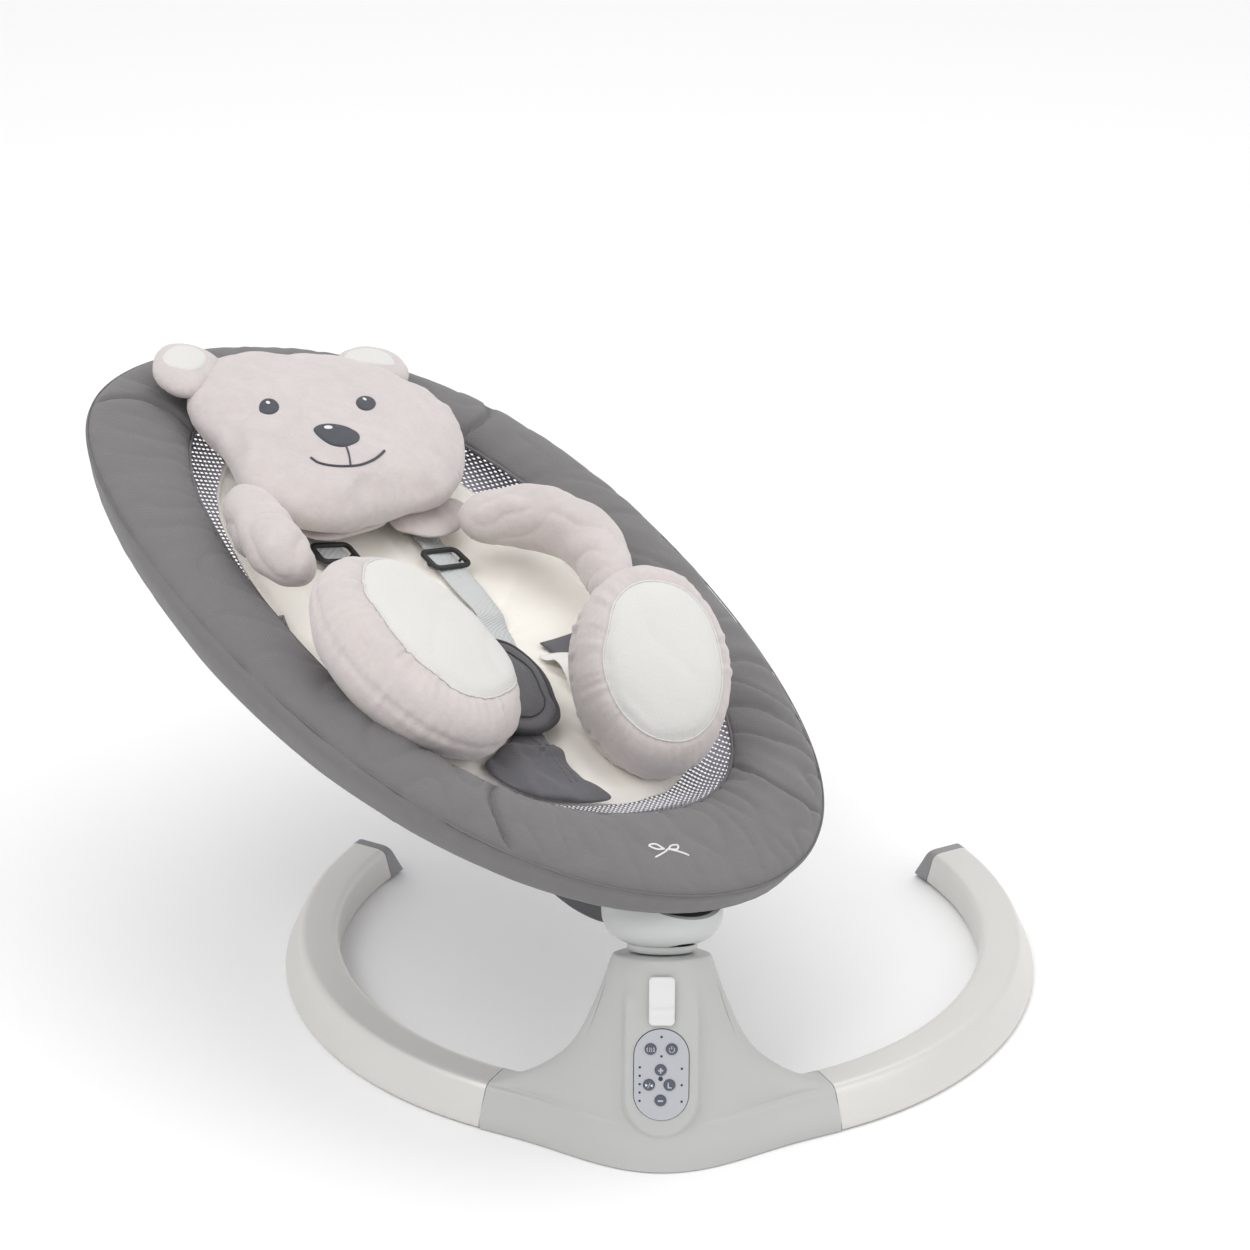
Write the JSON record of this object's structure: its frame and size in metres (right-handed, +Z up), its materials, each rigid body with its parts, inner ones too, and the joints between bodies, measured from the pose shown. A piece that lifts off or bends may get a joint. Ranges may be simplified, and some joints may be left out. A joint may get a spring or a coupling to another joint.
{
  "type": "baby swing",
  "caption": "Motorised baby swing: a leaning pedestal on an open ring base carries a padded oval seat with mesh sling, harness and plush bear liner.",
  "frame": {"origin": "centre of the base ring, on the floor", "axes": "+Z up; -Y towards the front of the swing, where the pedestal and its controls stand; +X to the right seen from the front"},
  "size_m": [0.7459, 0.7181, 0.4293],
  "materials": {
    "housing_plastic": "satin",
    "bowl_plastic": "satin",
    "tube_paint": "satin metallic",
    "dark_plastic": "matte",
    "cap_plastic": "matte",
    "white_plastic": "semi-gloss",
    "rubber_pad": "matte",
    "panel_silver": "satin",
    "led_lens": "gloss",
    "button_slate": "satin",
    "circuit_board": "satin",
    "steel": "machined",
    "motor_steel": "satin",
    "gear_nylon": "satin",
    "frame_steel": "satin",
    "ring_fabric": "woven polyester",
    "mesh_fabric": "open mesh",
    "cream_plush": "velour",
    "bear_plush": "short plush",
    "dark_fabric": "woven polyester",
    "webbing": "woven webbing",
    "tag_fabric": "satin ribbon",
    "red_button": "satin"
  },
  "bodies": {
    "base": {"base_shell": "housing_plastic", "rear_cover": "housing_plastic", "bottom_plate": "dark_plastic", "leg_tube_left": "tube_paint", "leg_tube_right": "tube_paint", "leg_joiner_left": "dark_plastic", "leg_joiner_right": "dark_plastic", "end_cap_left": "cap_plastic", "end_cap_right": "cap_plastic", "foot_pads": "rubber_pad", "cover_screws": "steel", "control_panel": "panel_silver", "indicator_leds": "led_lens", "control_board": "circuit_board", "speaker": "dark_plastic", "drive_motor": "motor_steel", "motor_bracket": "dark_plastic", "bearing_sleeve": "housing_plastic", "lower_bearing": "steel", "upper_bearing": "steel", "dc_inlet": "dark_plastic"},
    "swing": {"swing_shaft": "steel", "swing_neck": "dark_plastic", "recline_carriage": "dark_plastic", "carriage_screws": "steel", "sector_gear": "gear_nylon"},
    "seat": {"hub_bowl": "bowl_plastic", "seat_bracket": "frame_steel", "bracket_screws": "steel", "ring_tube": "frame_steel", "spine_tube": "frame_steel", "ring_cover": "ring_fabric", "mesh_sling": "mesh_fabric", "liner_body": "cream_plush", "bear_head": "bear_plush", "ear_left": "bear_plush", "ear_right": "bear_plush", "arm_left": "bear_plush", "arm_right": "bear_plush", "leg_left": "bear_plush", "leg_right": "bear_plush", "collar_flap": "bear_plush", "chest_strap_left": "webbing", "chest_strap_right": "webbing", "crotch_pad": "dark_fabric", "foot_panel": "dark_fabric", "waist_strap": "webbing", "harness_buckle": "dark_plastic", "warning_tag": "tag_fabric"},
    "button_music": {"button_music": "button_slate"},
    "button_power": {"button_power": "button_slate"},
    "button_plus": {"button_plus": "button_slate"},
    "button_minus": {"button_minus": "button_slate"},
    "button_swing": {"button_swing": "button_slate"},
    "button_timer": {"button_timer": "button_slate"},
    "lock_slider": {"lock_slider": "white_plastic"},
    "motor_pinion": {"motor_pinion": "gear_nylon"},
    "buckle_button": {"buckle_button": "red_button"},
    "strap_slider": {"strap_slider": "dark_plastic"},
    "strap_slider_left": {"strap_slider_left": "dark_plastic"}
  },
  "joints": [
    {"name": "seat_swing", "type": "hinge", "parent": "base", "child": "swing", "pos_m": [0, -0.243, 0.14], "axis": [0, 0.342, 0.9397], "range_deg": [-76, 4]},
    {"name": "seat_recline", "type": "hinge", "parent": "swing", "child": "seat", "pos_m": [0, -0.21461, 0.21799], "axis": [0.809, 0.5523, -0.201], "range_deg": [0, 10]},
    {"name": "pinion_spin", "type": "hinge", "parent": "base", "child": "motor_pinion", "pos_m": [0, -0.24132, 0.05106], "axis": [0, 0.342, 0.9397], "range_deg": [-14, 230]},
    {"name": "swing_lock", "type": "slide", "parent": "base", "child": "lock_slider", "axis": [0, 0.2756, 0.9613], "range_m": [-0.0035, 0.0035]},
    {"name": "music_press", "type": "slide", "parent": "base", "child": "button_music", "axis": [0, 0.9613, -0.2756], "range_m": [0, 0.0006], "stiffness_N_per_m": 600},
    {"name": "power_press", "type": "slide", "parent": "base", "child": "button_power", "axis": [0, 0.9613, -0.2756], "range_m": [0, 0.0006], "stiffness_N_per_m": 600},
    {"name": "plus_press", "type": "slide", "parent": "base", "child": "button_plus", "axis": [0, 0.9613, -0.2756], "range_m": [0, 0.0006], "stiffness_N_per_m": 600},
    {"name": "minus_press", "type": "slide", "parent": "base", "child": "button_minus", "axis": [0, 0.9613, -0.2756], "range_m": [0, 0.0006], "stiffness_N_per_m": 600},
    {"name": "swing_press", "type": "slide", "parent": "base", "child": "button_swing", "axis": [0, 0.9613, -0.2756], "range_m": [0, 0.0006], "stiffness_N_per_m": 600},
    {"name": "timer_press", "type": "slide", "parent": "base", "child": "button_timer", "axis": [0, 0.9613, -0.2756], "range_m": [0, 0.0006], "stiffness_N_per_m": 600},
    {"name": "buckle_press", "type": "slide", "parent": "seat", "child": "buckle_button", "axis": [-0.2939, 0.0839, -0.9521], "range_m": [0, 0.002], "stiffness_N_per_m": 400},
    {"name": "strap_adjust", "type": "slide", "parent": "seat", "child": "strap_slider", "axis": [-0.509, 0.8294, 0.2302], "range_m": [-0.06, 0.008]},
    {"name": "strap_adjust_left", "type": "slide", "parent": "seat", "child": "strap_slider_left", "axis": [-0.509, 0.8294, 0.2302], "range_m": [-0.06, 0.008]}
  ],
  "couplings": [
    {"joint": "pinion_spin", "follows": "seat_swing", "ratio": -3}
  ]
}
